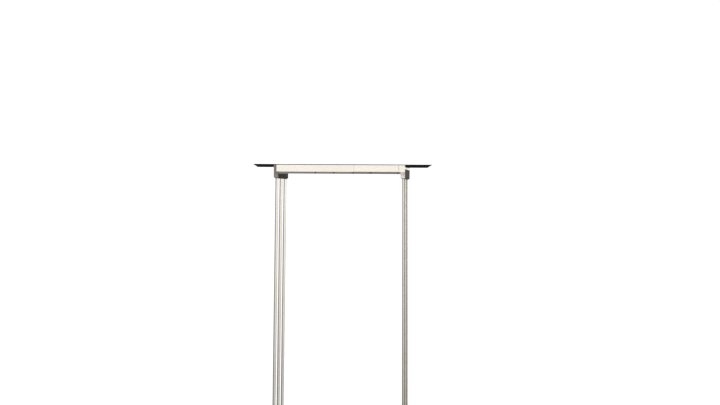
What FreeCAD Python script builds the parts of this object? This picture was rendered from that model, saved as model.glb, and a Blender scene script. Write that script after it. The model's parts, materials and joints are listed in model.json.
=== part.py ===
import FreeCAD, Part
import os
import re
import Sketcher

# Valet stand: a tall, open garment stand.
#
# Two sides, each of three flat-bar uprights, carry a shallow box beam. A black rail with undercut
# ends lies along the beam, stands out past both sides and takes hangers. The beam is a shallow
# tray above and holds one slim drawer. Foot rails, two stretchers and four levelling feet make
# the base. Screws are solid and have no clearance holes, so they share space with what they hold.
#
# Millimetres. +Z is up, +X is to the right and the drawer opens towards -Y. The origin is on
# the floor, under the middle of the stand.

doc = FreeCAD.newDocument("valet_stand")

# Driving dimensions ---------------------------------------------------------------------------

DIMENSIONS = {
    # overall
    "stand_height": 1100,
    "frame_width": 480,
    "frame_depth": 250,
    # black top rail
    "rail_length": 666,
    "rail_depth": 28,
    "rail_thickness": 11.5,
    "rail_rise": 4.6,
    "rail_undercut": 18,
    "rail_forward": 24,
    "rail_edge": 0.8,
    # side assemblies at the ends of the beam
    "end_width": 16,
    "end_drop": 47.5,
    "saddle_thickness": 7.2,
    "skin": 3,
    "corner_cut": 4,
    "relief_play": 0.5,
    "relief_margin": 1,
    # uprights
    "bar_thickness": 4.6,
    "bar_width": 45,
    "bar_inset": 1.5,
    "bar_grip": 24,
    "socket_play": 0.3,
    "splay_degrees": 0.35,
    "collar_rim": 1.8,
    "collar_drop": 2,
    "collar_margin": 1,
    "bar_edge": 0.8,
    # beam
    "fascia_height": 25,
    "fascia_inset": 10,
    "drawer_left": 54,
    "drawer_right": 218,
    "seam_left": 0.6,
    "seam_right": 1,
    "sheet_metal": 1.5,
    "panel_drop": 7.5,
    "channel_depth": 28,
    "wall": 2,
    "bumper_radius": 4,
    "bumper_length": 5,
    "bumper_play": 0.2,
    "rivet_radius": 2.6,
    "lip_setback": 1,
    "underside_gap": 2,
    # drawer
    "drawer_length": 190,
    "drawer_play": 0.4,
    "drawer_lift": 0.6,
    "runner_width": 5,
    "runner_ledge": 3.4,
    "runner_height": 11,
    "felt": 1,
    # base
    "foot_length": 320,
    "foot_width": 30,
    "foot_height": 18,
    "foot_clearance": 16,
    "foot_grip": 12,
    "foot_round": 4,
    "pad_radius": 14,
    "pad_height": 7,
    "stem_radius": 4,
    "stem_length": 20,
    "stem_play": 0.05,
    "stem_tip": 1,
    "stem_flare": 3,
    "pad_edge": 1.5,
    "pad_shoulder": 2,
    "foot_end_inset": 16,
    "insert_radius": 6.5,
    "insert_height": 9,
    "stretcher_offset": 51,
    "stretcher_depth": 24,
    "stretcher_height": 12,
    "stretcher_lift": 3,
    "stretcher_edge": 2,
    "stretcher_bite": 15,
    "screw_radius": 2.5,
    "screw_head_radius": 4.5,
    "screw_head": 4,
}

sizes = doc.addObject("Spreadsheet::Sheet", "sizes")
for row, (alias, number) in enumerate(DIMENSIONS.items(), start=1):
    sizes.set(f"A{row}", alias)
    sizes.set(f"B{row}", str(number))
    sizes.setAlias(f"B{row}", alias)
doc.recompute()

# Places worked out from the driving dimensions, as expressions ----------------------------------

BEAM_TOP = "(stand_height - rail_rise)"
SADDLE_TOP = "(stand_height - rail_thickness)"
BLOCK_TOP = f"({SADDLE_TOP} - saddle_thickness)"
BLOCK_BOTTOM = f"({BEAM_TOP} - end_drop)"
FASCIA_BOTTOM = f"({BEAM_TOP} - fascia_height)"
FLOOR_BOTTOM = f"({SADDLE_TOP} - sheet_metal)"
OUTSIDE = "(frame_width / 2)"
INSIDE = "(frame_width / 2 - end_width)"
FRONT = "(-frame_depth / 2)"
BACK = "(frame_depth / 2)"
FRONT_INNER = "(-frame_depth / 2 + skin)"
BACK_INNER = "(frame_depth / 2 - skin)"
BAR_X = "(frame_width / 2 - end_width / 2)"
BAR_TOP = f"({BLOCK_BOTTOM} + bar_grip)"
BAR_PITCH = "(frame_depth / 2 - skin - bar_inset - bar_width / 2)"
FOOT_TOP = "(foot_clearance + foot_height)"
LEAN = "tan(splay_degrees * 1deg)"
FOOT_X = f"({BAR_X} + ({BLOCK_BOTTOM} - {FOOT_TOP}) * {LEAN})"

FLUSH = "0"
SIDES = {"left": -1, "right": 1}
ROWS = {"front": -1, "middle": 0, "rear": 1}

# Helpers --------------------------------------------------------------------------------------

FUNCTIONS = ("tan",)


def linked(expression):
    """The expression with every dimension's name pointing to its cell in the sheet."""
    def point(match):
        word = match.group()
        return word if word in FUNCTIONS else "sizes." + word
    return re.sub(r"(?<![\w.])[a-z]\w*", point, expression)


def value(expression):
    """The expression's number in millimetres."""
    found = sizes.evalExpression(linked(expression))
    return float(getattr(found, "Value", found))


def bind(item, quantity, expression):
    item.setExpression(quantity, linked(expression))


def place(item, x, y, z):
    for axis, expression in zip("xyz", (x, y, z)):
        bind(item, f"Placement.Base.{axis}", expression)


def span(pair):
    low, high = pair
    return f"(({high}) - ({low}))"


def mirrored(side, low, high):
    """A range along X, given for the right side, on either side of the stand."""
    if SIDES[side] > 0:
        return (low, high)
    return (f"(-({high}))", f"(-({low}))")


def new_body(label):
    body = doc.addObject("PartDesign::Body", label)
    body.Label = label
    return body


def new_sketch(body, name, role, lift=FLUSH):
    """An empty sketch on one of the body's own planes, raised along the plane's normal."""
    sketch = body.newObject("Sketcher::SketchObject", name)
    plane = [item for item in body.Origin.OriginFeatures if item.Role == role][0]
    sketch.AttachmentSupport = [(plane, "")]
    sketch.MapMode = "FlatFace"
    if lift != FLUSH:
        bind(sketch, "AttachmentOffset.Base.z", lift)
    return sketch


def draw(sketch, corners):
    """A closed outline of straight lines through the corners, each a pair of expressions."""
    first = sketch.GeometryCount
    points = [FreeCAD.Vector(value(across), value(up), 0) for across, up in corners]
    for start, end in zip(points, points[1:] + points[:1]):
        sketch.addGeometry(Part.LineSegment(start, end))
    for number, (across, up) in enumerate(corners):
        before = first + (number - 1) % len(corners)
        sketch.addConstraint(Sketcher.Constraint("Coincident", before, 2, first + number, 1))
        for kind, axis, expression in (("DistanceX", -2, across), ("DistanceY", -1, up)):
            distance = value(expression)
            if abs(distance) < 1e-9:
                sketch.addConstraint(Sketcher.Constraint("PointOnObject", first + number, 1, axis))
                continue
            limit = Sketcher.Constraint(kind, -1, 1, first + number, 1, distance)
            index = sketch.addConstraint(limit)
            bind(sketch, f"Constraints[{index}]", expression)


def rectangle(x, y):
    return [(x[0], y[0]), (x[1], y[0]), (x[1], y[1]), (x[0], y[1])]


def circle(sketch, across, up, radius):
    """A circle held by its centre and radius, each an expression."""
    centre = FreeCAD.Vector(value(across), value(up), 0)
    ring = sketch.addGeometry(Part.Circle(centre, FreeCAD.Vector(0, 0, 1), value(radius)))
    for kind, expression in (("DistanceX", across), ("DistanceY", up)):
        limit = Sketcher.Constraint(kind, -1, 1, ring, 3, value(expression))
        bind(sketch, f"Constraints[{sketch.addConstraint(limit)}]", expression)
    limit = Sketcher.Constraint("Radius", ring, value(radius))
    bind(sketch, f"Constraints[{sketch.addConstraint(limit)}]", radius)


def pad(body, sketch, length, reverse=False):
    feature = body.newObject("PartDesign::Pad", sketch.Name + "_pad")
    feature.Profile = sketch
    feature.Reversed = reverse
    bind(feature, "Length", length)
    sketch.Visibility = False
    doc.recompute()
    return feature


def cut(body, sketch, depth, reverse=False):
    """A pocket, with its volume compared so that it can't miss the solid unseen."""
    before = body.Shape.Volume
    feature = body.newObject("PartDesign::Pocket", sketch.Name + "_pocket")
    feature.Profile = sketch
    feature.Reversed = reverse
    bind(feature, "Length", depth)
    doc.recompute()
    if not body.Shape.Volume < before - 1:
        raise RuntimeError(f"{feature.Name} cuts nothing")
    return feature


def slab(label, x, y, z):
    """A rectangular piece, from its ranges along X, Y and Z."""
    body = new_body(label)
    sketch = new_sketch(body, label + "_outline", "XY_Plane")
    draw(sketch, rectangle((FLUSH, span(x)), (FLUSH, span(y))))
    pad(body, sketch, span(z))
    place(body, x[0], y[0], z[0])
    return body


def profile(label, role, corners, length, at):
    """A piece of one section, drawn on a plane of its own and drawn out along +X or +Y."""
    body = new_body(label)
    sketch = new_sketch(body, label + "_section", role)
    draw(sketch, corners)
    pad(body, sketch, length, reverse=role == "XZ_Plane")
    place(body, *at)
    return body


def dress(body, kind, size, edges, label):
    """A fillet or chamfer on the named edges of the body's last feature."""
    base = body.Tip
    feature = body.newObject("PartDesign::" + kind, f"{label}_{kind.lower()}")
    feature.Base = (base, edges)
    bind(feature, "Radius" if kind == "Fillet" else "Size", size)
    doc.recompute()
    return feature


def edges_along(body, axis):
    """Names of the straight edges along an axis."""
    names = []
    for number, edge in enumerate(body.Tip.Shape.Edges, start=1):
        if len(edge.Vertexes) < 2:
            continue
        run = edge.Vertexes[1].Point - edge.Vertexes[0].Point
        if abs(abs(run[axis]) - run.Length) < 1e-6:
            names.append(f"Edge{number}")
    return names


def cylinder(name, radius, height, at, direction=(0, 0, 1)):
    item = doc.addObject("Part::Cylinder", name)
    bind(item, "Radius", radius)
    bind(item, "Height", height)
    item.Placement.Rotation = FreeCAD.Rotation(FreeCAD.Vector(0, 0, 1), FreeCAD.Vector(*direction))
    place(item, *at)
    return item


def fused(label, items):
    group = doc.addObject("Part::MultiFuse", label)
    group.Label = label
    group.Shapes = items
    return group


def screws(label, spots, length, direction):
    """Cheese-head screws, one for each spot, which is the middle of the head's outer face."""
    shapes = []
    for number, spot in enumerate(spots, start=1):
        name = f"{label}_{number}"
        head = cylinder(name + "_head", "screw_head_radius", "screw_head", spot, direction)
        shank = cylinder(name + "_shank", "screw_radius", length, spot, direction)
        shapes += [head, shank]
    return fused(label, shapes)


def turned(label, corners, at):
    """A round piece, its half section given as radius and height."""
    body = new_body(label)
    sketch = new_sketch(body, label + "_half", "XZ_Plane")
    draw(sketch, corners)
    turn = body.newObject("PartDesign::Revolution", label + "_turn")
    turn.Profile = sketch
    turn.ReferenceAxis = (sketch, ["V_Axis"])
    turn.Angle = 360
    doc.recompute()
    place(body, *at)
    return body


# Top rail -------------------------------------------------------------------------------------

RAIL_HALF = "(rail_length / 2)"
RAIL_FRONT = "(-rail_forward - rail_depth / 2)"

top_rail = profile(
    "top_rail",
    "XZ_Plane",
    [
        (f"rail_undercut - {RAIL_HALF}", FLUSH),
        (f"{RAIL_HALF} - rail_undercut", FLUSH),
        (RAIL_HALF, "rail_thickness"),
        (f"-{RAIL_HALF}", "rail_thickness"),
    ],
    "rail_depth",
    (FLUSH, RAIL_FRONT, SADDLE_TOP),
)
dress(top_rail, "Chamfer", "rail_edge", edges_along(top_rail, 0), "top_rail")

RAIL_SCREW_LENGTH = "(saddle_thickness + screw_head + rail_thickness / 2)"
rail_screw_spots = []
for sign in SIDES.values():
    for step in (-1, 1):
        along = f"(-rail_forward + {step} * rail_depth / 4)"
        rail_screw_spots.append((f"{sign} * {BAR_X}", along, f"{BLOCK_TOP} - screw_head"))
screws("rail_screws", rail_screw_spots, RAIL_SCREW_LENGTH, (0, 0, 1))

# Ends of the beam: block, caps, saddle strip and collars, the same on both sides ----------------


def bar_row(row):
    """The range along Y of one row of uprights."""
    middle = f"({ROWS[row]} * {BAR_PITCH})"
    return (f"({middle} - bar_width / 2)", f"({middle} + bar_width / 2)")


def end_block(side):
    """Moulded block under the saddle strip, with a socket from below for each upright."""
    x = mirrored(side, INSIDE, OUTSIDE)
    body = slab(f"{side}_end_block", x, (FRONT_INNER, BACK_INNER), (BLOCK_BOTTOM, BLOCK_TOP))
    for row in ROWS:
        low, high = bar_row(row)
        sketch = new_sketch(body, f"{side}_{row}_socket", "XY_Plane")
        middle = "end_width / 2"
        half = "(bar_thickness / 2 + socket_play)"
        across = (f"{middle} - {half}", f"{middle} + {half}")
        along = (f"{low} - {FRONT_INNER} - socket_play", f"{high} - {FRONT_INNER} + socket_play")
        draw(sketch, rectangle(across, along))
        cut(body, sketch, "bar_grip + socket_play", reverse=True)
    relief = new_sketch(body, f"{side}_screw_relief", "XY_Plane", f"{BLOCK_TOP} - {BLOCK_BOTTOM}")
    reach = "(rail_depth / 4 + screw_head_radius + relief_margin)"
    centre = f"(-rail_forward - {FRONT_INNER})"
    along = (f"{centre} - {reach}", f"{centre} + {reach}")
    draw(relief, rectangle(("wall", "end_width - wall"), along))
    cut(body, relief, "screw_head + relief_play")
    return body


def saddle_strip(side):
    x = mirrored(side, INSIDE, OUTSIDE)
    return slab(f"{side}_saddle_strip", x, (FRONT_INNER, BACK_INNER), (BLOCK_TOP, SADDLE_TOP))


def collars(side):
    """Three thin collars round the uprights, under the block."""
    x = mirrored(side, INSIDE, OUTSIDE)
    body = new_body(f"{side}_collars")
    body.AllowCompound = True
    half = "(bar_thickness / 2 + socket_play)"
    rims, holes = [], []
    for row in ROWS:
        low, high = bar_row(row)
        rims.append(rectangle(
            (f"end_width / 2 - {half} - collar_rim", f"end_width / 2 + {half} + collar_rim"),
            (f"{low} - socket_play - collar_margin", f"{high} + socket_play + collar_margin"),
        ))
        holes.append(rectangle(
            (f"end_width / 2 - {half}", f"end_width / 2 + {half}"),
            (f"{low} - socket_play", f"{high} + socket_play"),
        ))
    sketch = new_sketch(body, f"{side}_collar_outlines", "XY_Plane")
    for corners in rims + holes:
        draw(sketch, corners)
    pad(body, sketch, "collar_drop")
    place(body, x[0], FLUSH, f"{BLOCK_BOTTOM} - collar_drop")
    return body


def front_cap(side):
    """Bent metal plate on the front of the block. On the left it also stands beside the fascia."""
    x = mirrored(side, INSIDE, OUTSIDE)
    if side == "left":
        top, shoulder = BEAM_TOP, "fascia_inset"
        corners = [
            (FLUSH, FLUSH),
            ("end_width", FLUSH),
            ("end_width", "end_drop - fascia_height"),
            (shoulder, "end_drop - fascia_height"),
            (shoulder, f"{top} - {BLOCK_BOTTOM}"),
            (FLUSH, f"{top} - {BLOCK_BOTTOM}"),
        ]
    else:
        corners = [
            ("corner_cut", FLUSH),
            ("end_width", FLUSH),
            ("end_width", "end_drop - fascia_height"),
            (FLUSH, "end_drop - fascia_height"),
            (FLUSH, "corner_cut"),
        ]
    return profile(f"{side}_front_cap", "XZ_Plane", corners, "skin", (x[0], FRONT, BLOCK_BOTTOM))


def rear_cap(side):
    x = mirrored(side, INSIDE, OUTSIDE)
    return slab(f"{side}_rear_cap", x, (BACK_INNER, BACK), (BLOCK_BOTTOM, BEAM_TOP))


def upright(side, row):
    """Flat bar that leans outwards a little on its way down into the foot rail."""
    label = f"{side}_{row}_upright"
    length = f"({BAR_TOP} - {FOOT_TOP} + foot_grip)"
    body = new_body(label)
    sketch = new_sketch(body, label + "_section", "XY_Plane")
    half = "bar_thickness / 2"
    low, high = bar_row(row)
    draw(sketch, rectangle((f"-{half}", half), (low, high)))
    pad(body, sketch, length, reverse=True)
    dress(body, "Fillet", "bar_edge", edges_along(body, 2), label)
    body.Placement.Rotation = FreeCAD.Rotation(FreeCAD.Vector(0, -SIDES[side], 0), 1)
    bind(body, "Placement.Rotation.Angle", "splay_degrees")
    place(body, f"{SIDES[side]} * ({BAR_X} - bar_grip * {LEAN})", FLUSH, BAR_TOP)
    return body


for side in SIDES:
    end_block(side)
    saddle_strip(side)
    collars(side)
    front_cap(side)
    rear_cap(side)
    for row in ROWS:
        upright(side, row)

# Beam -----------------------------------------------------------------------------------------

BEAM_WIDE = (f"(-{INSIDE})", INSIDE)
BEAM_DEEP = (FRONT_INNER, BACK_INNER)
HOLLOW = (FASCIA_BOTTOM, FLOOR_BOTTOM)
FRONT_SKIN = (FRONT, FRONT_INNER)
BAY_LEFT = "(drawer_left - wall)"
BAY_RIGHT = f"({INSIDE} - wall)"

FASCIA_HIGH = (FASCIA_BOTTOM, BEAM_TOP)

slab("front_fascia", (f"fascia_inset - {OUTSIDE}", "drawer_left"), FRONT_SKIN, FASCIA_HIGH)
slab("fascia_end_cap", ("drawer_right", OUTSIDE), FRONT_SKIN, FASCIA_HIGH)
slab("rear_fascia", BEAM_WIDE, (BACK_INNER, BACK), FASCIA_HIGH)
slab("tray_floor", BEAM_WIDE, BEAM_DEEP, (FLOOR_BOTTOM, SADDLE_TOP))

profile(
    "underside_panel",
    "YZ_Plane",
    [
        (FLUSH, FLUSH),
        ("sheet_metal", FLUSH),
        ("sheet_metal", "panel_drop - sheet_metal"),
        ("frame_depth - underside_gap", "panel_drop - sheet_metal"),
        ("frame_depth - underside_gap", "panel_drop"),
        (FLUSH, "panel_drop"),
    ],
    f"2 * {INSIDE}",
    (BEAM_WIDE[0], f"{FRONT} + lip_setback", f"{FASCIA_BOTTOM} - panel_drop"),
)


def channel(label, x, y, opens):
    """Aluminium channel inside the beam, open towards the front or the back."""
    top = span(HOLLOW)
    deep = "channel_depth"
    corners = [
        (FLUSH, FLUSH), (deep, FLUSH), (deep, "wall"), ("wall", "wall"),
        ("wall", f"{top} - wall"), (deep, f"{top} - wall"), (deep, top), (FLUSH, top),
    ]
    if opens == "front":
        corners = [(f"{deep} - {across}", up) for across, up in corners]
    return profile(label, "YZ_Plane", corners, span(x), (x[0], y, HOLLOW[0]))


channel("front_channel", (BEAM_WIDE[0], BAY_LEFT), FRONT_INNER, "back")
channel("rear_channel", BEAM_WIDE, f"{BACK_INNER} - channel_depth", "front")
BAY_DEEP = (f"({FRONT_INNER} + channel_depth)", f"({BACK_INNER} - channel_depth)")
slab("bay_divider", (BAY_LEFT, "drawer_left"), (FRONT_INNER, BAY_DEEP[1]), HOLLOW)
slab("bay_end_wall", (BAY_RIGHT, INSIDE), (FRONT_INNER, BAY_DEEP[1]), HOLLOW)


def runner(side):
    """Angle that carries one edge of the drawer."""
    out, ledge, thick = "runner_width", "(runner_width + runner_ledge)", "sheet_metal"
    corners = [
        (FLUSH, FLUSH), (ledge, FLUSH), (ledge, thick),
        (out, thick), (out, "runner_height"), (FLUSH, "runner_height"),
    ]
    start = "drawer_left"
    if side == "right":
        corners = [(f"{ledge} - {across}", up) for across, up in corners]
        start = f"{BAY_RIGHT} - {ledge}"
    at = (start, FRONT_INNER, HOLLOW[0])
    return profile(f"{side}_runner", "XZ_Plane", corners, f"{BAY_DEEP[1]} - {FRONT_INNER}", at)


runner("left")
runner("right")

RIVET_PLACES = (-0.18, -0.04, 0.107, 0.24, 0.446)
rivets = []
for number, share in enumerate(RIVET_PLACES, start=1):
    height = f"{FASCIA_BOTTOM} - panel_drop / 2"
    at = (f"{share} * frame_width", f"{FRONT} + lip_setback", height)
    rivets.append(cylinder(f"rivet_{number}", "rivet_radius", "lip_setback", at, (0, -1, 0)))
fused("lip_rivets", rivets)

# Drawer ---------------------------------------------------------------------------------------

TRAY_X = (
    "(drawer_left + runner_width + drawer_play)",
    f"({BAY_RIGHT} - runner_width - drawer_play)",
)
TRAY_Y = (FRONT_INNER, f"({FRONT_INNER} + drawer_length)")
TRAY_Z = (f"({FASCIA_BOTTOM} + sheet_metal + drawer_play)", f"({FLOOR_BOTTOM} - drawer_lift)")
CAVITY_X = (f"({TRAY_X[0]} + wall)", f"({TRAY_X[1]} - wall)")
CAVITY_Y = (f"({TRAY_Y[0]} + wall)", f"({TRAY_Y[1]} - wall)")

slab(
    "drawer_front",
    ("drawer_left + seam_left", "drawer_right - seam_right"),
    FRONT_SKIN,
    (f"{FASCIA_BOTTOM} + drawer_lift", BEAM_TOP),
)
drawer_tray = slab("drawer_tray", TRAY_X, TRAY_Y, TRAY_Z)
inside = new_sketch(drawer_tray, "drawer_cavity", "XY_Plane", span(TRAY_Z))
draw(inside, rectangle(("wall", f"{span(TRAY_X)} - wall"), ("wall", f"{span(TRAY_Y)} - wall")))
cut(drawer_tray, inside, f"{span(TRAY_Z)} - wall")
slab("drawer_liner", CAVITY_X, CAVITY_Y, (f"{TRAY_Z[0]} + wall", f"{TRAY_Z[0]} + wall + felt"))

drawer_pins = []
for number, share in enumerate((0.2, 0.8), start=1):
    across = f"({TRAY_X[0]} + {share} * {span(TRAY_X)})"
    at = (across, CAVITY_Y[0], f"({TRAY_Z[0]} + {TRAY_Z[1]}) / 2")
    pin = cylinder(f"drawer_pin_{number}", "screw_radius", "wall + skin / 2", at, (0, -1, 0))
    drawer_pins.append(pin)
fused("drawer_screws", drawer_pins)

bumpers = []
for number, share in enumerate((0.15, 0.85), start=1):
    across = f"({TRAY_X[0]} + {share} * {span(TRAY_X)})"
    at = (across, f"{TRAY_Y[1]} + bumper_length + drawer_play", f"{FASCIA_BOTTOM} + bumper_radius")
    radius = "bumper_radius - bumper_play"
    bumpers.append(cylinder(f"bumper_{number}", radius, "bumper_length", at, (0, -1, 0)))
fused("drawer_bumpers", bumpers)

# Base -----------------------------------------------------------------------------------------

FOOT_HALF = "(foot_length / 2)"
FOOT_END_Y = f"({FOOT_HALF} - foot_end_inset)"
ENDS = {"front": -1, "rear": 1}


def foot_rail(side):
    """Flat rail with a socket for each upright, and two bores for each foot's bush and stem."""
    sign = SIDES[side]
    x = (f"({sign} * {FOOT_X} - foot_width / 2)", f"({sign} * {FOOT_X} + foot_width / 2)")
    body = slab(f"{side}_foot_rail", x, (f"-{FOOT_HALF}", FOOT_HALF), ("foot_clearance", FOOT_TOP))
    dress(body, "Fillet", "foot_round", edges_along(body, 2), f"{side}_foot_rail")
    middle = "foot_width / 2"
    half = "(bar_thickness / 2 + socket_play)"
    for row in ROWS:
        low, high = bar_row(row)
        sketch = new_sketch(body, f"{side}_{row}_foot_socket", "XY_Plane", "foot_height")
        along = (f"{low} + {FOOT_HALF} - socket_play", f"{high} + {FOOT_HALF} + socket_play")
        draw(sketch, rectangle((f"{middle} - {half}", f"{middle} + {half}"), along))
        cut(body, sketch, "foot_grip + socket_play")
    for end, way in ENDS.items():
        along = f"({FOOT_HALF} + {way} * {FOOT_END_Y})"
        bores = (
            ("insert", "insert_radius", "insert_height"),
            ("stem", "stem_radius + 2 * stem_play", "foot_height - wall"),
        )
        for name, radius, depth in bores:
            sketch = new_sketch(body, f"{side}_{end}_{name}_bore", "XY_Plane")
            circle(sketch, middle, along, radius)
            cut(body, sketch, depth, reverse=True)
    return body


def foot_spot(side, end):
    return f"{SIDES[side]} * {FOOT_X}", f"{ENDS[end]} * {FOOT_END_Y}"


def levelling_foot(side, end):
    """Round pad on a stem that turns in the foot rail's insert."""
    stem_top = "(pad_height + stem_length)"
    corners = [
        (FLUSH, FLUSH),
        ("pad_radius - pad_edge", FLUSH),
        ("pad_radius", "pad_edge"),
        ("pad_radius", "pad_height - pad_shoulder"),
        ("stem_radius + stem_flare", "pad_height"),
        ("stem_radius", "pad_height"),
        ("stem_radius", f"{stem_top} - stem_tip"),
        ("stem_radius - stem_tip", stem_top),
        (FLUSH, stem_top),
    ]
    return turned(f"{side}_{end}_foot", corners, (*foot_spot(side, end), FLUSH))


def foot_insert(side, end):
    """Bush pressed into the foot rail from below, which the foot's stem turns in."""
    corners = [
        ("stem_radius + stem_play", FLUSH),
        ("insert_radius", FLUSH),
        ("insert_radius", "insert_height"),
        ("stem_radius + stem_play", "insert_height"),
    ]
    return turned(f"{side}_{end}_insert", corners, (*foot_spot(side, end), "foot_clearance"))


for side in SIDES:
    foot_rail(side)
    for end in ENDS:
        levelling_foot(side, end)
        foot_insert(side, end)

STRETCHER_HALF = f"({FOOT_X} - foot_width / 2)"
STRETCHER_BOTTOM = "(foot_clearance + stretcher_lift)"
for end, way in ENDS.items():
    middle = f"({way} * stretcher_offset)"
    stretcher = slab(
        f"{end}_stretcher",
        (f"-{STRETCHER_HALF}", STRETCHER_HALF),
        (f"{middle} - stretcher_depth / 2", f"{middle} + stretcher_depth / 2"),
        (STRETCHER_BOTTOM, f"{STRETCHER_BOTTOM} + stretcher_height"),
    )
    dress(stretcher, "Fillet", "stretcher_edge", edges_along(stretcher, 0), f"{end}_stretcher")

for side, sign in SIDES.items():
    spots = []
    for way in ENDS.values():
        outer = f"{sign} * ({FOOT_X} + foot_width / 2)"
        height = f"{STRETCHER_BOTTOM} + stretcher_height / 2"
        spots.append((outer, f"{way} * stretcher_offset", height))
    screws(f"{side}_stretcher_screws", spots, "foot_width + stretcher_bite", (-sign, 0, 0))

# Check every object, then write one STEP file for each sub-part ---------------------------------

doc.recompute()
for item in doc.Objects:
    if "Invalid" in item.State or "Error" in item.State:
        raise RuntimeError(f"{item.Name} failed: {item.State}")

os.makedirs("parts", exist_ok=True)
for item in doc.Objects:
    if item.TypeId not in ("PartDesign::Body", "Part::MultiFuse"):
        continue
    shape = item.Shape
    if shape.isNull() or not shape.isValid():
        raise RuntimeError(f"{item.Label} has no valid shape")
    shape.exportStep(f"parts/{item.Label}.step")
    print(f"{item.Label}: {len(shape.Solids)} solids, {shape.Volume / 1000:.2f} cm3")
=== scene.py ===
# %% [markdown]
# # Valet stand: looks
# This lesson dresses a finished CAD frame. The frame already holds every part at its real size, so
# nothing is moved or resized here. Edges are softened, small details are modelled, and each finish
# is built from procedural nodes that read Object coordinates, so that it stays put on its part.

# %% Load the frame
import bpy
import json
import math
from mathutils import Matrix, Vector


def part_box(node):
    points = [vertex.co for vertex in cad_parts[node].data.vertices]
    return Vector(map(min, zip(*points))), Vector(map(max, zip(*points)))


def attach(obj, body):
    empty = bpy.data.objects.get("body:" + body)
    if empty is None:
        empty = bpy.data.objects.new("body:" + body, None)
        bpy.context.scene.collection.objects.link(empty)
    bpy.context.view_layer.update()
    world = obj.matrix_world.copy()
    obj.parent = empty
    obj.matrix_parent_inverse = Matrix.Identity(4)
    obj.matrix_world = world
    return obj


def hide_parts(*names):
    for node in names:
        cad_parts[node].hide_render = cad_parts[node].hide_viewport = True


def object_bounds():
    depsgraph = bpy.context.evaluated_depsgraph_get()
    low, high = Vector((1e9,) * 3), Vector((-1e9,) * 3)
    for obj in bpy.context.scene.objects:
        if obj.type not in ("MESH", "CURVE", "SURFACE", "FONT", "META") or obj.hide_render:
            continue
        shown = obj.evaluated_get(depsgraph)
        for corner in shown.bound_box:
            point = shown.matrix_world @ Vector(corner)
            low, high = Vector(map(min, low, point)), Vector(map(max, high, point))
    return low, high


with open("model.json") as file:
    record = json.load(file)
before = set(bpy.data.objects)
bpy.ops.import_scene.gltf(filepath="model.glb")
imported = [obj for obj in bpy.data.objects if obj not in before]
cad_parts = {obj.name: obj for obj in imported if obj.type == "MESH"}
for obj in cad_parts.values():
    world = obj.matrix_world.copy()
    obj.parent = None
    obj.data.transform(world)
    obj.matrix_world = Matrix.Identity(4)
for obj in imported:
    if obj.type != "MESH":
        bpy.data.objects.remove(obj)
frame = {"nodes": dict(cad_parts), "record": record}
cad_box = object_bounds()
MM = 0.001
print("nodes:", len(frame["nodes"]), "box:", [tuple(round(v, 4) for v in c) for c in cad_box])

# %% [markdown]
# ## Node helpers
# All finishes share the same few steps: coordinates, a stretched noise, a colour ramp between two
# close tones, a range of roughness and a bump. Small helpers keep each finish readable. Numbers that
# are the same all over a surface go straight onto the shader's own sockets.

# %% Start a material
def new_finish(name, roughness=0.5, metallic=0.0, specular=0.5):
    material = bpy.data.materials.new(name)
    material.use_nodes = True
    shader = material.node_tree.nodes["Principled BSDF"]
    shader.inputs["Roughness"].default_value = roughness
    shader.inputs["Metallic"].default_value = metallic
    shader.inputs["Specular IOR Level"].default_value = specular
    return material, material.node_tree.nodes, material.node_tree.links, shader


# %% A noise on Object coordinates
def noise(nodes, links, size_mm, stretch=(1, 1, 1), detail=4.0, rough=0.5):
    """Noise whose blobs are about size_mm across, drawn out along an axis where stretch is above 1."""
    place = nodes.new("ShaderNodeTexCoord")
    mapping = nodes.new("ShaderNodeMapping")
    mapping.inputs["Scale"].default_value = [1 / (size_mm * MM * s) for s in stretch]
    texture = nodes.new("ShaderNodeTexNoise")
    texture.inputs["Scale"].default_value = 1.0
    texture.inputs["Detail"].default_value = detail
    texture.inputs["Roughness"].default_value = rough
    links.new(place.outputs["Object"], mapping.inputs["Vector"])
    links.new(mapping.outputs["Vector"], texture.inputs["Vector"])
    return texture.outputs["Fac"]


# %% Colour between two tones
def tones(nodes, links, factor, dark, light, low=0.35, high=0.65):
    ramp = nodes.new("ShaderNodeValToRGB")
    ramp.color_ramp.elements[0].position = low
    ramp.color_ramp.elements[0].color = (*dark, 1)
    ramp.color_ramp.elements[1].position = high
    ramp.color_ramp.elements[1].color = (*light, 1)
    links.new(factor, ramp.inputs["Fac"])
    return ramp.outputs["Color"]


# %% Roughness between two values
def spread(nodes, links, factor, low, high):
    ranged = nodes.new("ShaderNodeMapRange")
    ranged.inputs["From Min"].default_value = 0.3
    ranged.inputs["From Max"].default_value = 0.7
    ranged.inputs["To Min"].default_value = low
    ranged.inputs["To Max"].default_value = high
    links.new(factor, ranged.inputs["Value"])
    return ranged.outputs["Result"]


# %% Bump from one or two heights
def bump(nodes, links, shader, *layers):
    """Each layer is (height, strength, depth in mm). Later layers lie on the earlier ones."""
    normal = None
    for height, strength, depth_mm in layers:
        node = nodes.new("ShaderNodeBump")
        node.inputs["Strength"].default_value = strength
        node.inputs["Distance"].default_value = depth_mm * MM
        links.new(height, node.inputs["Height"])
        if normal is not None:
            links.new(normal, node.inputs["Normal"])
        normal = node.outputs["Normal"]
    links.new(normal, shader.inputs["Normal"])


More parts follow.
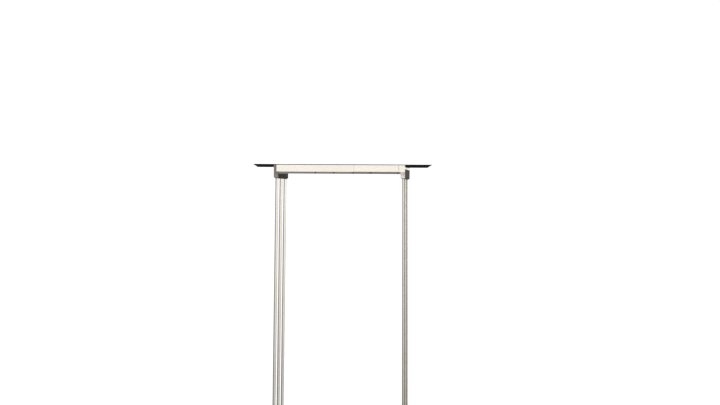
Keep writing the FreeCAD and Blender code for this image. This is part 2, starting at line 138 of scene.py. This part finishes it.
# %% Where edges are rubbed bright
def edge_mask(nodes, links, radius_mm):
    """Near 1 along sharp edges, 0 on flats: the rounded normal is compared with the real one."""
    rounded = nodes.new("ShaderNodeBevel")
    rounded.samples = 4
    rounded.inputs["Radius"].default_value = radius_mm * MM
    geometry = nodes.new("ShaderNodeNewGeometry")
    dot = nodes.new("ShaderNodeVectorMath")
    dot.operation = "DOT_PRODUCT"
    links.new(rounded.outputs["Normal"], dot.inputs[0])
    links.new(geometry.outputs["Normal"], dot.inputs[1])
    mask = nodes.new("ShaderNodeMapRange")
    mask.inputs["From Min"].default_value = 0.99
    mask.inputs["From Max"].default_value = 0.80
    links.new(dot.outputs["Value"], mask.inputs["Value"])
    return mask.outputs["Result"]


# %% Lay a second colour over the first
def over(nodes, links, factor, below, above, strength=1.0):
    amount = nodes.new("ShaderNodeMath")
    amount.operation = "MULTIPLY"
    amount.inputs[1].default_value = strength
    links.new(factor, amount.inputs[0])
    mix = nodes.new("ShaderNodeMix")
    mix.data_type = "RGBA"
    links.new(amount.outputs["Value"], mix.inputs["Factor"])
    links.new(below, mix.inputs["A"])
    mix.inputs["B"].default_value = (*above, 1)
    return mix.outputs["Result"]


# %% [markdown]
# ## Cream enamel
# The fascias, the drawer front and the strips at the sides are sheet metal with a sprayed, baked
# enamel. Sprayed paint is never quite flat: it has a very fine orange-peel texture and slow changes
# of tone. The peel is bump only, and corners are a shade thinner, which the edge mask gives.

# %% Cream enamel
def cream_enamel():
    material, nodes, links, shader = new_finish("cream_enamel", specular=0.4)
    cloud = noise(nodes, links, 90, detail=3)
    peel = noise(nodes, links, 1.1, detail=2)
    colour = tones(nodes, links, cloud, (0.855, 0.798, 0.712), (0.875, 0.825, 0.745))
    colour = over(nodes, links, edge_mask(nodes, links, 0.8), colour, (0.76, 0.70, 0.62), 0.4)
    links.new(colour, shader.inputs["Base Color"])
    links.new(spread(nodes, links, cloud, 0.34, 0.44), shader.inputs["Roughness"])
    bump(nodes, links, shader, (peel, 0.12, 0.05))
    return material


# %% [markdown]
# ## Champagne metal
# The uprights, caps and foot rails are brushed, anodised aluminium in a warm champagne tone. Brushing
# leaves hair-fine lines along the bar, so the noise is drawn out some hundred times along Z. Handling
# leaves soft smudges, which change the roughness more than the colour. The bars' broad faces carry
# painted light, far paler than their narrow edges, and painted shade darkens both towards the floor.

# %% Which way a face looks
def looking_along(nodes, links, axis):
    """Near 1 on faces square to one of the object's own axes, 0 on the others."""
    place = nodes.new("ShaderNodeTexCoord")
    parts = nodes.new("ShaderNodeSeparateXYZ")
    size = nodes.new("ShaderNodeMath")
    size.operation = "ABSOLUTE"
    mask = nodes.new("ShaderNodeMapRange")
    mask.inputs["From Min"].default_value = 0.6
    mask.inputs["From Max"].default_value = 0.95
    links.new(place.outputs["Normal"], parts.inputs["Vector"])
    links.new(parts.outputs[axis], size.inputs[0])
    links.new(size.outputs["Value"], mask.inputs["Value"])
    return mask.outputs["Result"]


# %% How far down the stand a point is
def depth_below(nodes, links, top, bottom):
    """0 at the height of top and 1 at bottom, in metres on Object coordinates."""
    place = nodes.new("ShaderNodeTexCoord")
    parts = nodes.new("ShaderNodeSeparateXYZ")
    down = nodes.new("ShaderNodeMapRange")
    down.inputs["From Min"].default_value = top
    down.inputs["From Max"].default_value = bottom
    links.new(place.outputs["Object"], parts.inputs["Vector"])
    links.new(parts.outputs["Z"], down.inputs["Value"])
    return down.outputs["Result"]


# %% Champagne metal, brushed along one axis
def champagne(name, stretch, dark, light, rough=(0.30, 0.42), face=None, deep=None):
    """face is painted light, a far paler tone for the broad faces, and deep the painted shade that the
    bars darken to towards the floor.
    """
    material, nodes, links, shader = new_finish(name, metallic=1.0)
    lines = noise(nodes, links, 0.5, stretch=stretch, detail=6, rough=0.6)
    smudge = noise(nodes, links, 60, stretch=(1, 1, 2.5), detail=3)
    colour = tones(nodes, links, lines, dark, light, 0.3, 0.7)
    # Painted light: the broad faces, square to X, are painted far paler than the narrow edges.
    if face:
        colour = over(nodes, links, looking_along(nodes, links, "X"), colour, face, 0.9)
    # Painted shade: the colour darkens from 1.0 m down to 0.15 m above the floor.
    if deep:
        colour = over(nodes, links, depth_below(nodes, links, 1.0, 0.15), colour, deep, 0.78)
    colour = over(nodes, links, smudge, colour, [0.85 * c for c in dark], 0.12)
    colour = over(nodes, links, edge_mask(nodes, links, 0.4), colour, [1.15 * c for c in light], 0.2)
    links.new(colour, shader.inputs["Base Color"])
    links.new(spread(nodes, links, smudge, rough[0], rough[1]), shader.inputs["Roughness"])
    bump(nodes, links, shader, (lines, 0.10, 0.04))
    return material


# %% [markdown]
# ## Black powder coat
# The top rail is powder coated. Powder melts into a fine, even pebble, and the coat is so dark that
# its soft gloss is most of what the eye sees. The pebble is a small noise with little depth, and the
# undercut edges are slightly polished by hangers.

# %% Black powder coat
def black_powder():
    material, nodes, links, shader = new_finish("black_powder_coat", specular=0.12)
    pebble = noise(nodes, links, 0.7, detail=3, rough=0.6)
    cloud = noise(nodes, links, 45, stretch=(3, 1, 1), detail=2)
    colour = tones(nodes, links, cloud, (0.003, 0.0028, 0.0025), (0.006, 0.0055, 0.005))
    colour = over(nodes, links, edge_mask(nodes, links, 0.7), colour, (0.02, 0.019, 0.018), 0.4)
    links.new(colour, shader.inputs["Base Color"])
    links.new(spread(nodes, links, cloud, 0.42, 0.56), shader.inputs["Roughness"])
    bump(nodes, links, shader, (pebble, 0.35, 0.06))
    return material


# %% [markdown]
# ## Moulded plastics and rubber
# The end blocks are glass-filled nylon: dark warm grey, with a spark-eroded grain from the mould. The
# rims, push rivets and foot pads are softer and blacker. One recipe serves them all, with its own
# tones, grain size and roughness.

# %% Moulded plastic or rubber
def moulded(name, dark, light, grain_mm, depth_mm, rough, specular):
    material, nodes, links, shader = new_finish(name, specular=specular)
    grain = noise(nodes, links, grain_mm, detail=5, rough=0.65)
    flow = noise(nodes, links, 22, stretch=(1, 2.2, 1), detail=3)
    colour = tones(nodes, links, flow, dark, light, 0.3, 0.7)
    colour = over(nodes, links, edge_mask(nodes, links, 0.6), colour, [3 * c for c in light], 0.25)
    links.new(colour, shader.inputs["Base Color"])
    links.new(spread(nodes, links, grain, rough[0], rough[1]), shader.inputs["Roughness"])
    bump(nodes, links, shader, (flow, 0.1, 0.2), (grain, 0.45, depth_mm))
    return material


# %% [markdown]
# ## Mill-finish sheet, steel, brass and felt
# The underside is unpainted aluminium with the rolling lines it came with, running along the beam; its
# dark grey tone is painted shade.
# Screws are zinc plated and the bushes turned brass. Felt is a mat of short fibres: fuzzy at its edge,
# which the sheen gives, and mottled at two scales.

# %% Bare metals
def bare_metal(name, dark, light, stretch, rough):
    material, nodes, links, shader = new_finish(name, metallic=1.0)
    lines = noise(nodes, links, 0.6, stretch=stretch, detail=5, rough=0.6)
    stain = noise(nodes, links, 35, detail=4)
    colour = tones(nodes, links, lines, dark, light, 0.3, 0.7)
    colour = over(nodes, links, stain, colour, [0.8 * c for c in dark], 0.25)
    links.new(colour, shader.inputs["Base Color"])
    links.new(spread(nodes, links, stain, rough[0], rough[1]), shader.inputs["Roughness"])
    bump(nodes, links, shader, (lines, 0.12, 0.05))
    return material


# %% Felt
def felt():
    material, nodes, links, shader = new_finish("felt", roughness=0.95, specular=0.1)
    fibre = noise(nodes, links, 0.8, stretch=(1.8, 1, 1), detail=8, rough=0.75)
    matted = noise(nodes, links, 9, detail=4)
    colour = tones(nodes, links, fibre, (0.018, 0.016, 0.014), (0.075, 0.066, 0.056), 0.3, 0.75)
    colour = over(nodes, links, matted, colour, (0.045, 0.04, 0.034), 0.4)
    links.new(colour, shader.inputs["Base Color"])
    shader.inputs["Sheen Weight"].default_value = 0.5
    shader.inputs["Sheen Roughness"].default_value = 0.6
    bump(nodes, links, shader, (matted, 0.2, 0.3), (fibre, 0.8, 0.35))
    return material


# %% Make the finishes once
ALONG_X, ALONG_Y, ALONG_Z = (140, 1, 1), (1, 140, 1), (1, 1, 140)
FINISHES = {
    "cream_enamel": cream_enamel(),
    # The bars carry painted light on their broad faces (face) and painted shade towards the floor
    # (deep).
    "champagne_metal": champagne("champagne_bar", ALONG_Z, (0.36, 0.34, 0.31), (0.43, 0.405, 0.37),
                                 face=(0.98, 0.91, 0.815), deep=(0.15, 0.132, 0.108)),
    "champagne_along_y": champagne("champagne_foot_rail", ALONG_Y, (0.36, 0.33, 0.30),
                                   (0.44, 0.41, 0.375)),
    "champagne_along_x": champagne("champagne_stretcher", ALONG_X, (0.36, 0.33, 0.30),
                                   (0.44, 0.41, 0.375)),
    # The two cap tones are one champagne finish: painted shade for the left caps, painted light for the
    # right caps.
    "cap_painted_shade": champagne("champagne_cap_deep", ALONG_Z, (0.215, 0.193, 0.173), (0.27, 0.244, 0.22)),
    "cap_painted_light": champagne("champagne_cap_pale", ALONG_Z, (0.64, 0.60, 0.53), (0.72, 0.675, 0.60)),
    "black_rail": black_powder(),
    "dark_moulding": moulded("end_block_nylon", (0.048, 0.045, 0.039), (0.072, 0.068, 0.059),
                             0.9, 0.12, (0.7, 0.85), 0.02),
    "dark_rubber": moulded("rim_rubber", (0.010, 0.010, 0.009), (0.020, 0.019, 0.018),
                           0.6, 0.05, (0.6, 0.75), 0.25),
    "foot_pad": moulded("foot_plastic", (0.018, 0.018, 0.017), (0.030, 0.029, 0.028),
                        0.8, 0.08, (0.5, 0.62), 0.4),
    "drawer_moulding": moulded("drawer_plastic", (0.035, 0.033, 0.031), (0.05, 0.047, 0.044),
                               1.0, 0.1, (0.5, 0.65), 0.4),
    # The underside sheet is bare aluminium whose dark grey tone is painted shade.
    "grey_sheet": bare_metal("mill_sheet_painted_shade", (0.215, 0.21, 0.20), (0.265, 0.26, 0.25),
                             ALONG_X, (0.38, 0.5)),
    "plain_aluminium": bare_metal("extruded_aluminium", (0.48, 0.48, 0.47), (0.6, 0.6, 0.59),
                                  ALONG_X, (0.32, 0.45)),
    "steel_fastener": bare_metal("zinc_plate", (0.42, 0.42, 0.43), (0.6, 0.6, 0.61),
                                 (1, 1, 1), (0.25, 0.4)),
    "brass_bush": bare_metal("turned_brass", (0.5, 0.36, 0.14), (0.68, 0.5, 0.22),
                             (1, 1, 0.3), (0.2, 0.35)),
    "felt_liner": felt(),
}
SLOTS = {row["node"]: row["material_slot"] for row in frame["record"]["subparts"]}
print("finishes:", len(FINISHES))


# %% [markdown]
# ## Shared modelling steps
# Blender's operators act on whatever is selected, so each step starts by deselecting everything. A
# CAD node is never edited. A copy of it is merged from loose triangles into whole faces, shaped with
# edit-mode operators, and gets the small rounded edges that catch the light on a real part.

# %% Select one object
def only(item):
    bpy.ops.object.select_all(action="DESELECT")
    item.select_set(True)
    bpy.context.view_layer.objects.active = item


# %% Choose faces in edit mode by a test
def pick_faces(item, test):
    """Leaves the item in edit mode with the faces that the test picks selected."""
    if item.mode == "EDIT":
        bpy.ops.object.mode_set(mode="OBJECT")
    only(item)
    for part in (item.data.vertices, item.data.edges, item.data.polygons):
        part.foreach_set("select", [False] * len(part))
    chosen = 0
    for face in item.data.polygons:
        if test(face.center, face.normal, face.area):
            face.select = True
            chosen += 1
    bpy.ops.object.mode_set(mode="EDIT")
    bpy.ops.mesh.select_mode(type="FACE")
    return chosen


# %% Copy a CAD node as whole faces
def whole_copy(node, name):
    source = frame["nodes"][node]
    only(source)
    bpy.ops.object.duplicate()
    piece = bpy.context.active_object
    piece.name = name
    piece.parent = None
    for key in [key for key in piece.keys() if key.startswith("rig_")]:
        del piece[key]
    piece.data.materials.clear()
    bpy.ops.mesh.customdata_custom_splitnormals_clear()
    bpy.ops.object.mode_set(mode="EDIT")
    bpy.ops.mesh.select_all(action="SELECT")
    bpy.ops.mesh.remove_doubles(threshold=0.00001)
    bpy.ops.mesh.dissolve_limited(angle_limit=math.radians(0.6))
    bpy.ops.object.mode_set(mode="OBJECT")
    return piece


# %% Round the edges and smooth
def soften(piece, radius_mm, segments=3, angle=35):
    only(piece)
    if radius_mm > 0:
        modifier = piece.modifiers.new("rounded", "BEVEL")
        modifier.width = radius_mm * MM
        modifier.segments = segments
        modifier.limit_method = "ANGLE"
        modifier.angle_limit = math.radians(angle)
        modifier.harden_normals = False
        bpy.ops.object.modifier_apply(modifier=modifier.name)
    bpy.ops.object.shade_smooth_by_angle(angle=math.radians(40))
    return piece


# %% Give a piece its finish, slot and body
def dress(piece, node, finish=None):
    piece.data.materials.clear()
    piece.data.materials.append(FINISHES[finish or SLOTS[node]])
    body = [b for b, members in frame["record"]["behaviour"]["bodies"].items() if node in members][0]
    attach(piece, body)
    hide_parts(node)
    print(f"{piece.name}: {len(piece.data.polygons)} faces")
    return piece


# %% [markdown]
# ## Every CAD node gets a finish first
# Parts that stay as the CAD made them, inside the beam for the most part, take their finish here. The
# finish goes into the node's material slots and its mesh isn't touched.

# %% Finish the CAD nodes
GRAIN_DIRECTION = {
    "left_foot_rail": "champagne_along_y",
    "right_foot_rail": "champagne_along_y",
    "front_stretcher": "champagne_along_x",
    "rear_stretcher": "champagne_along_x",
}
for node, item in frame["nodes"].items():
    item.data.materials.clear()
    item.data.materials.append(FINISHES[GRAIN_DIRECTION.get(node, SLOTS[node])])


# %% [markdown]
# ## Fascias, drawer front and strips
# These are folded sheet with a small radius at each fold. A crisp CAD corner would give no highlight,
# so each panel is a softened copy. The two fascias and the drawer front also get a shallow pressed
# border on the back face, where the sheet is doubled over.

# %% Panels
HEM_WIDTH, HEM_DEPTH = 2.5 * MM, 0.8 * MM
PANEL_RADIUS = {
    "front_fascia": 0.7, "fascia_end_cap": 0.7, "rear_fascia": 0.7, "drawer_front": 0.7,
    "left_saddle_strip": 0.5, "right_saddle_strip": 0.5,
}
for node, radius in PANEL_RADIUS.items():
    panel = whole_copy(node, node + "_panel")
    low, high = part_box(node)
    if node in ("front_fascia", "rear_fascia", "drawer_front"):
        inward = 1 if high.y < 0 else -1
        pick_faces(panel, lambda centre, normal, area: normal.y * inward > 0.9)
        bpy.ops.mesh.inset(thickness=HEM_WIDTH, depth=-HEM_DEPTH)
        bpy.ops.object.mode_set(mode="OBJECT")
    dress(soften(panel, radius), node)


# %% [markdown]
# ## Tray floor and underside
# Both are plain sheets, but a real sheet is stiffened: the tray floor has a shallow panel pressed into
# it on each side of the rail. The underside already has its front lip in the CAD, and is only softened.

# %% Tray floor
PANEL_BORDER, PANEL_SLOPE, PANEL_SUNK, RAIL_MARGIN = 12 * MM, 1.2 * MM, 0.5 * MM, 6 * MM
LARGE_FACE = 0.02
floor_sheet = whole_copy("tray_floor", "tray_floor_sheet")
rail_low, rail_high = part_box("top_rail")
only(floor_sheet)
bpy.ops.object.mode_set(mode="EDIT")
for cut_y in (rail_low.y - RAIL_MARGIN, rail_high.y + RAIL_MARGIN):
    bpy.ops.mesh.select_all(action="SELECT")
    bpy.ops.mesh.bisect(plane_co=(0, cut_y, 0), plane_no=(0, 1, 0))
pick_faces(floor_sheet, lambda centre, normal, area: normal.z > 0.9 and area > LARGE_FACE)
bpy.ops.mesh.inset(thickness=PANEL_BORDER, use_individual=True)
bpy.ops.mesh.inset(thickness=PANEL_SLOPE, depth=-PANEL_SUNK, use_individual=True)
bpy.ops.object.mode_set(mode="OBJECT")
dress(soften(floor_sheet, 0.3, 2), "tray_floor")

# %% Underside sheet
dress(soften(whole_copy("underside_panel", "underside_sheet"), 0.4), "underside_panel")


# %% [markdown]
# ## Top rail
# A solid bar with undercut ends. Hangers would slide off a plain bar, so its underside has a shallow
# groove that also hides the screws. The groove is an inset and a short extrude on the underside, and
# the long edges are broken by a small radius.

# %% Top rail
GROOVE_BORDER, GROOVE_DEPTH = 7 * MM, 1.5 * MM
rail = whole_copy("top_rail", "top_rail_bar")
picked = pick_faces(rail, lambda centre, normal, area: normal.z < -0.95 and area > 0.005)
bpy.ops.mesh.inset(thickness=GROOVE_BORDER)
bpy.ops.mesh.inset(thickness=0.6 * MM, depth=-GROOVE_DEPTH)
bpy.ops.object.mode_set(mode="OBJECT")
dress(soften(rail, 0.45), "top_rail")
print("underside faces grooved:", picked)


# %% [markdown]
# ## End blocks and caps
# Each block is moulded, and both of its big faces have a sunk panel, which keeps the wall even. The
# insets go on those two faces only; the sockets come along with the CAD copy. The caps are plate with
# lightly broken edges, in one champagne with painted shade on the left side and painted light on the
# right.

# %% End blocks
BLOCK_BORDER, BLOCK_SUNK = 2.6 * MM, 0.7 * MM
for side in ("left", "right"):
    block = whole_copy(f"{side}_end_block", f"{side}_end_block_moulding")
    pick_faces(block, lambda centre, normal, area: abs(normal.x) > 0.99 and area > 0.005)
    bpy.ops.mesh.inset(thickness=BLOCK_BORDER, use_individual=True)
    bpy.ops.mesh.inset(thickness=BLOCK_SUNK, depth=-BLOCK_SUNK, use_individual=True)
    bpy.ops.object.mode_set(mode="OBJECT")
    dress(soften(block, 0.35, 2), f"{side}_end_block")

# %% Caps and rims
# The left caps take the painted shade tone and the right caps the painted light tone.
CAP_FINISH = {"left": "cap_painted_shade", "right": "cap_painted_light"}
for side in ("left", "right"):
    for end in ("front", "rear"):
        node = f"{side}_{end}_cap"
        dress(soften(whole_copy(node, node + "_plate"), 0.4), node, CAP_FINISH[side])
    node = f"{side}_collars"
    dress(soften(whole_copy(node, f"{side}_collar_rims"), 0.35, 2), node)


# %% [markdown]
# ## Uprights
# Flat bar with a small radius along every edge. Both broad faces are drawn with a long shallow recess
# that leaves a lip along each edge: it saves metal, keeps fingerprints off the middle and gives each
# bar a fine second line. The top and bottom are hidden in their sockets.

# %% Uprights
LIP_WIDTH, LIP_HEIGHT = 2.2 * MM, 0.8 * MM
for side in ("left", "right"):
    for row in ("front", "middle", "rear"):
        node = f"{side}_{row}_upright"
        bar = whole_copy(node, node + "_bar")
        pick_faces(bar, lambda centre, normal, area: abs(normal.x) > 0.99 and area > 0.01)
        bpy.ops.mesh.inset(thickness=LIP_WIDTH, use_individual=True)
        bpy.ops.mesh.inset(thickness=0.3 * MM, depth=-LIP_HEIGHT, use_individual=True)
        bpy.ops.object.mode_set(mode="OBJECT")
        dress(soften(bar, 0), node)


# %% [markdown]
# ## Lip rivets
# The underside sheet turns up in a lip behind the fascia, and five black push rivets hold it. Each is
# a flat disc with a dimple in its middle, made from a cylinder whose outer face is inset twice. They
# lie in one row, at the same shares of the stand's width as in the CAD.

# %% Model one rivet
def rivet(name, centre, radius, height):
    """A flat rivet whose head stands out towards -Y from the centre."""
    bpy.ops.object.select_all(action="DESELECT")
    bpy.ops.mesh.primitive_cylinder_add(vertices=32, radius=radius, depth=height,
                                        rotation=(math.pi / 2, 0, 0), location=centre)
    piece = bpy.context.active_object
    piece.name = name
    bpy.ops.object.transform_apply(location=True, rotation=True, scale=True)
    pick_faces(piece, lambda middle, normal, area: normal.y < -0.9)
    bpy.ops.mesh.inset(thickness=0.45 * radius)
    bpy.ops.mesh.inset(thickness=0.15 * radius, depth=-0.3 * height)
    bpy.ops.object.mode_set(mode="OBJECT")
    return soften(piece, 0.25, 3, 25)


# %% Rivets in their places
rivets_low, rivets_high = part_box("lip_rivets")
RIVET_SHARES = (-0.18, -0.04, 0.107, 0.24, 0.446)
frame_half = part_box("right_rear_cap")[1].x
middle_y, middle_z = (rivets_low.y + rivets_high.y) / 2, (rivets_low.z + rivets_high.z) / 2
rivet_radius, rivet_height = (rivets_high.z - rivets_low.z) / 2, rivets_high.y - rivets_low.y
rivet_pieces = []
for number, share in enumerate(RIVET_SHARES, start=1):
    centre = (share * 2 * frame_half, middle_y, middle_z)
    rivet_pieces.append(rivet(f"lip_rivet_{number}", centre, rivet_radius, rivet_height))
only(rivet_pieces[0])
for piece in rivet_pieces:
    piece.select_set(True)
bpy.ops.object.join()
dress(bpy.context.active_object, "lip_rivets")


# %% [markdown]
# ## Base
# Foot rails and stretchers are solid bar with a rounded edge. The levelling feet are small but much
# handled: a moulded pad with a sunk ring, a hexagon to turn it by, and a threaded stem.

# %% Foot rails and stretchers
for node in ("left_foot_rail", "right_foot_rail", "front_stretcher", "rear_stretcher"):
    dress(soften(whole_copy(node, node + "_bar"), 0.8), node, GRAIN_DIRECTION[node])


# %% One levelling foot
PAD_EDGE = 1.5 * MM
PAD_STEPS = ((1.0, 3.4), (0.93, 0.9), (0.78, 0.2), (0.95, -0.7), (0.86, 0.0), (0.96, 0.9))


def levelling_foot(node):
    """A turned pad: each step widens or narrows the last ring by a factor and rises by some mm."""
    low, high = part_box(node)
    middle = (low + high) / 2
    radius = (high.x - low.x) / 2
    bpy.ops.object.select_all(action="DESELECT")
    bpy.ops.mesh.primitive_cylinder_add(vertices=64, radius=radius - PAD_EDGE, depth=PAD_EDGE,
                                        location=(middle.x, middle.y, low.z + PAD_EDGE / 2))
    piece = bpy.context.active_object
    piece.name = node + "_turned"
    bpy.ops.object.transform_apply(location=True, rotation=True, scale=True)
    pick_faces(piece, lambda centre, normal, area: normal.z > 0.9)
    widen = radius / (radius - PAD_EDGE)
    bpy.ops.transform.resize(value=(widen, widen, 1))
    for factor, rise in PAD_STEPS:
        bpy.ops.mesh.extrude_region_move(TRANSFORM_OT_translate={"value": (0, 0, rise * MM)})
        bpy.ops.transform.resize(value=(factor, factor, 1))
    bpy.ops.object.mode_set(mode="OBJECT")
    soften(piece, 0.3, 2, 30)
    parts = [piece, foot_nut(middle, low.z), foot_stem(middle, low.z, high.z)]
    only(piece)
    for part in parts:
        part.select_set(True)
    bpy.ops.object.join()
    return piece


# %% Hexagon of the foot
NUT_RADIUS, NUT_HEIGHT, PAD_TOP = 7.2 * MM, 3.6 * MM, 5.6 * MM


def foot_nut(middle, ground):
    bpy.ops.object.select_all(action="DESELECT")
    bpy.ops.mesh.primitive_cylinder_add(vertices=6, radius=NUT_RADIUS, depth=NUT_HEIGHT,
                                        location=(middle.x, middle.y, ground + PAD_TOP + NUT_HEIGHT / 2))
    nut = bpy.context.active_object
    bpy.ops.object.transform_apply(location=True, rotation=True, scale=True)
    pick_faces(nut, lambda centre, normal, area: normal.z > 0.9)
    bpy.ops.mesh.inset(thickness=1.0 * MM, depth=0.35 * MM)
    bpy.ops.object.mode_set(mode="OBJECT")
    return soften(nut, 0.25, 2)


# %% Ringed stem of the foot
STEM_RADIUS, THREAD_PITCH, THREAD_ROOT = 4.0 * MM, 1.25 * MM, 0.86


def foot_stem(middle, ground, top):
    """A stem with one ring for each turn of thread: cheaper than a helix, and alike from outside."""
    start = ground + PAD_TOP
    bpy.ops.object.select_all(action="DESELECT")
    bpy.ops.mesh.primitive_cylinder_add(vertices=32, radius=STEM_RADIUS, depth=1.0 * MM,
                                        location=(middle.x, middle.y, start + 0.5 * MM))
    stem = bpy.context.active_object
    bpy.ops.object.transform_apply(location=True, rotation=True, scale=True)
    pick_faces(stem, lambda centre, normal, area: normal.z > 0.9)
    rings = int((top - start - 1.0 * MM) / THREAD_PITCH)
    for _ in range(rings):
        for factor in (THREAD_ROOT, 1 / THREAD_ROOT):
            step = (0, 0, THREAD_PITCH / 2)
            bpy.ops.mesh.extrude_region_move(TRANSFORM_OT_translate={"value": step})
            bpy.ops.transform.resize(value=(factor, factor, 1))
    bpy.ops.object.mode_set(mode="OBJECT")
    return soften(stem, 0)


# %% All four feet
for side in ("left", "right"):
    for end in ("front", "rear"):
        node = f"{side}_{end}_foot"
        dress(levelling_foot(node), node)


# %% [markdown]
# ## Drawer
# The tray is a thin moulding with a lip, and its liner is a loose mat of felt. The felt is divided
# finely and lifted a little by a noise, so that it doesn't lie like a painted sheet.

# %% Drawer tray
dress(soften(whole_copy("drawer_tray", "drawer_tray_moulding"), 0.5), "drawer_tray")

# %% Felt liner
liner = whole_copy("drawer_liner", "drawer_liner_felt")
only(liner)
bpy.ops.object.mode_set(mode="EDIT")
bpy.ops.mesh.select_all(action="SELECT")
bpy.ops.mesh.subdivide(number_cuts=40)
bpy.ops.object.mode_set(mode="OBJECT")
waves = bpy.data.textures.new("felt_waves", "CLOUDS")
waves.noise_scale = 0.02
lift = liner.modifiers.new("lift", "DISPLACE")
lift.texture = waves
lift.texture_coords = "LOCAL"
lift.direction = "Z"
lift.strength = 0.5 * MM
lift.mid_level = 1.0
only(liner)
bpy.ops.object.modifier_apply(modifier=lift.name)
dress(soften(liner, 0), "drawer_liner")


# %% [markdown]
# ## Stretcher screws
# The heads lie flush in the outside of the foot rails. Each is a cheese head with a round socket: a
# short cylinder, inset, with the socket sunk by a second inset.

# %% Socket-head screws
HEAD_LENGTH, SOCKET_BORDER, SOCKET_DEPTH = 4 * MM, 1.9 * MM, 2.2 * MM
for side, sign in (("left", -1), ("right", 1)):
    node = f"{side}_stretcher_screws"
    low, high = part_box(node)
    face = high.x if sign > 0 else low.x
    radius = (high.z - low.z) / 2
    heads = []
    for way in (-1, 1):
        across = (low.y + high.y) / 2 + way * ((high.y - low.y) / 2 - radius)
        bpy.ops.object.select_all(action="DESELECT")
        centre = (face - sign * HEAD_LENGTH / 2, across, (low.z + high.z) / 2)
        bpy.ops.mesh.primitive_cylinder_add(vertices=48, radius=radius, depth=HEAD_LENGTH,
                                            rotation=(0, math.pi / 2, 0), location=centre)
        head = bpy.context.active_object
        head.name = node + "_heads"
        bpy.ops.object.transform_apply(location=True, rotation=True, scale=True)
        pick_faces(head, lambda centre, normal, area: normal.x * sign > 0.9)
        bpy.ops.mesh.inset(thickness=SOCKET_BORDER)
        bpy.ops.mesh.inset(thickness=0.1 * MM, depth=-SOCKET_DEPTH)
        bpy.ops.object.mode_set(mode="OBJECT")
        heads.append(soften(head, 0.3, 2))
    only(heads[0])
    heads[1].select_set(True)
    bpy.ops.object.join()
    dress(bpy.context.active_object, node)


# %% [markdown]
# ## Studio
# The stand is shown on a plain pale floor in soft light. The sky is white behind and to the sides, and
# dimmer towards the viewer, which darkens the bars' front edges; their broad faces also carry painted
# light in their finish. A large soft lamp high in front keeps the enamel bright.

# %% Floor
bpy.ops.object.select_all(action="DESELECT")
bpy.ops.mesh.primitive_plane_add(size=120, location=(0, 0, cad_box[0].z))
floor = bpy.context.active_object
floor.name = "studio_floor"
paper, nodes, links, shader = new_finish("floor_paper", roughness=0.9, specular=0.1)
shader.inputs["Base Color"].default_value = (0.93, 0.93, 0.93, 1)
shader.inputs["Emission Color"].default_value = (1, 1, 1, 1)
shader.inputs["Emission Strength"].default_value = 0.12
floor.data.materials.append(paper)

# %% Sky
SKY_BEHIND, SKY_FRONT = 1.15, 0.5
world = bpy.data.worlds.new("studio_sky")
bpy.context.scene.world = world
world.use_nodes = True
nodes, links = world.node_tree.nodes, world.node_tree.links
direction = nodes.new("ShaderNodeTexCoord")
parts = nodes.new("ShaderNodeSeparateXYZ")
dim = nodes.new("ShaderNodeMapRange")
dim.inputs["From Min"].default_value = -0.95
dim.inputs["From Max"].default_value = -0.25
dim.inputs["To Min"].default_value = SKY_FRONT
dim.inputs["To Max"].default_value = SKY_BEHIND
links.new(direction.outputs["Generated"], parts.inputs["Vector"])
links.new(parts.outputs["Y"], dim.inputs["Value"])
links.new(dim.outputs["Result"], nodes["Background"].inputs["Strength"])
nodes["Background"].inputs["Color"].default_value = (1, 1, 1, 1)


# %% Lamps
def lamp(name, location, target, size, watts):
    data = bpy.data.lights.new(name, "AREA")
    data.shape = "DISK"
    data.size = size
    data.energy = watts
    item = bpy.data.objects.new(name, data)
    bpy.context.scene.collection.objects.link(item)
    item.location = location
    item.rotation_euler = (Vector(target) - Vector(location)).to_track_quat("-Z", "Y").to_euler()
    return item


lamp("key_lamp", (-1.2, -3.4, 3.6), (0, 0, 0.9), 2.0, 30)


# %% [markdown]
# ## Camera
# A longish lens from a little to the right and just under beam height, so that the underside shows as
# a thin strip and the side blocks as narrow faces. The camera's three axes are written down directly,
# which makes its slight roll easy to state.

# %% Camera
CAMERA_AT = (0.6358, -5.537, 0.9757)
CAMERA_LENS = 75.0
CAMERA_YAW, CAMERA_PITCH, CAMERA_ROLL = (math.radians(v) for v in (5.89, -0.17, 0.42))
forward = Vector((-math.sin(CAMERA_YAW) * math.cos(CAMERA_PITCH),
                  math.cos(CAMERA_YAW) * math.cos(CAMERA_PITCH), math.sin(CAMERA_PITCH)))
level = Vector((math.cos(CAMERA_YAW), math.sin(CAMERA_YAW), 0))
upward = level.cross(forward)
right = math.cos(CAMERA_ROLL) * level + math.sin(CAMERA_ROLL) * upward
up = math.cos(CAMERA_ROLL) * upward - math.sin(CAMERA_ROLL) * level
camera_data = bpy.data.cameras.new("camera")
camera_data.lens = CAMERA_LENS
camera_data.sensor_width = 36.0
camera_data.clip_end = 200
camera = bpy.data.objects.new("camera", camera_data)
bpy.context.scene.collection.objects.link(camera)
turn = Matrix((right, up, -forward)).transposed().to_4x4()
camera.matrix_world = Matrix.Translation(CAMERA_AT) @ turn
bpy.context.scene.camera = camera
bpy.context.scene.view_settings.view_transform = "Standard"
